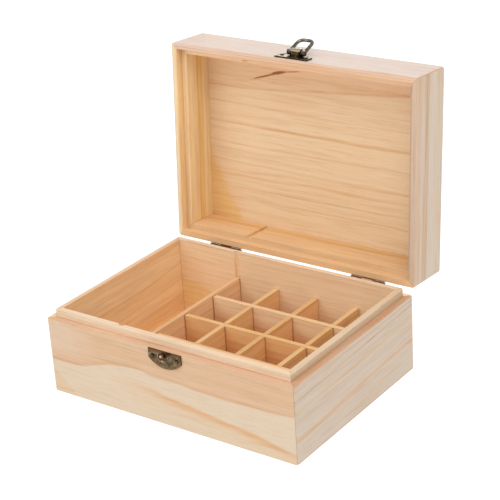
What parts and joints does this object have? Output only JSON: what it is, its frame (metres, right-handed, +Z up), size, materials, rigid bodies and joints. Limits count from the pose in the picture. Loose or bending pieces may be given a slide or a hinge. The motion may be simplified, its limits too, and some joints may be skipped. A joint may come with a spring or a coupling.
{
  "type": "essential oil storage box",
  "caption": "Hinged pine storage box with a long compartment and a lift-out grid of bottle cells, closed by an antique bronze snap loop latch.",
  "frame": {"origin": "the middle of the body's underside, on the surface that the box stands on", "axes": "+X to the right as seen from the latch side, +Y from the latch to the hinges, +Z up"},
  "size_m": [0.22, 0.2188, 0.234],
  "materials": {
    "pine": "sanded pine under a thin satin varnish",
    "pine_panel": "sanded pine board, warmer, satin",
    "pine_divider": "thin sanded pine board, nearly matt",
    "bronze": "antique bronze plating, rubbed brighter on raised edges",
    "coppery_bronze": "antique bronze plating worn to a coppery tone"
  },
  "bodies": {
    "box": {"front_wall": "pine", "back_wall": "pine", "left_wall": "pine", "right_wall": "pine", "bottom_panel": "pine_panel", "left_hinge_body_leaf": "bronze", "left_hinge_pin": "bronze", "left_hinge_body_nail_left": "bronze", "left_hinge_body_nail_right": "bronze", "right_hinge_body_leaf": "bronze", "right_hinge_pin": "bronze", "right_hinge_body_nail_left": "bronze", "right_hinge_body_nail_right": "bronze", "strike_plate": "bronze", "strike_knob": "coppery_bronze", "strike_nail_left": "bronze", "strike_nail_right": "bronze"},
    "lid": {"lid_front_wall": "pine", "lid_back_wall": "pine", "lid_left_wall": "pine", "lid_right_wall": "pine", "lid_panel": "pine_panel", "left_hinge_lid_leaf": "bronze", "left_hinge_lid_nail_left": "bronze", "left_hinge_lid_nail_right": "bronze", "right_hinge_lid_leaf": "bronze", "right_hinge_lid_nail_left": "bronze", "right_hinge_lid_nail_right": "bronze", "hasp_plate": "bronze", "hasp_nail_left": "bronze", "hasp_nail_right": "bronze"},
    "loop": {"hasp_loop": "bronze"},
    "divider": {"main_divider": "pine_divider"},
    "grid": {"row_divider_front": "pine_divider", "row_divider_middle": "pine_divider", "row_divider_rear": "pine_divider", "column_divider_left": "pine_divider", "column_divider_middle": "pine_divider", "column_divider_right": "pine_divider"}
  },
  "joints": [
    {"name": "lid_hinge", "type": "hinge", "parent": "box", "child": "lid", "pos_m": [0, 0.083, 0.06185], "axis": [1, 0, 0], "range_deg": [0, 93.8]},
    {"name": "loop_hinge", "type": "hinge", "parent": "lid", "child": "loop", "pos_m": [0.0022, 0.10138, 0.2276], "axis": [1, 0, 0], "range_deg": [-23.3, 156.7]},
    {"name": "divider_lift", "type": "slide", "parent": "box", "child": "divider", "axis": [0, 0, 1], "range_m": [0, 0.048]},
    {"name": "grid_lift", "type": "slide", "parent": "box", "child": "grid", "axis": [0, 0, 1], "range_m": [0, 0.048]}
  ]
}
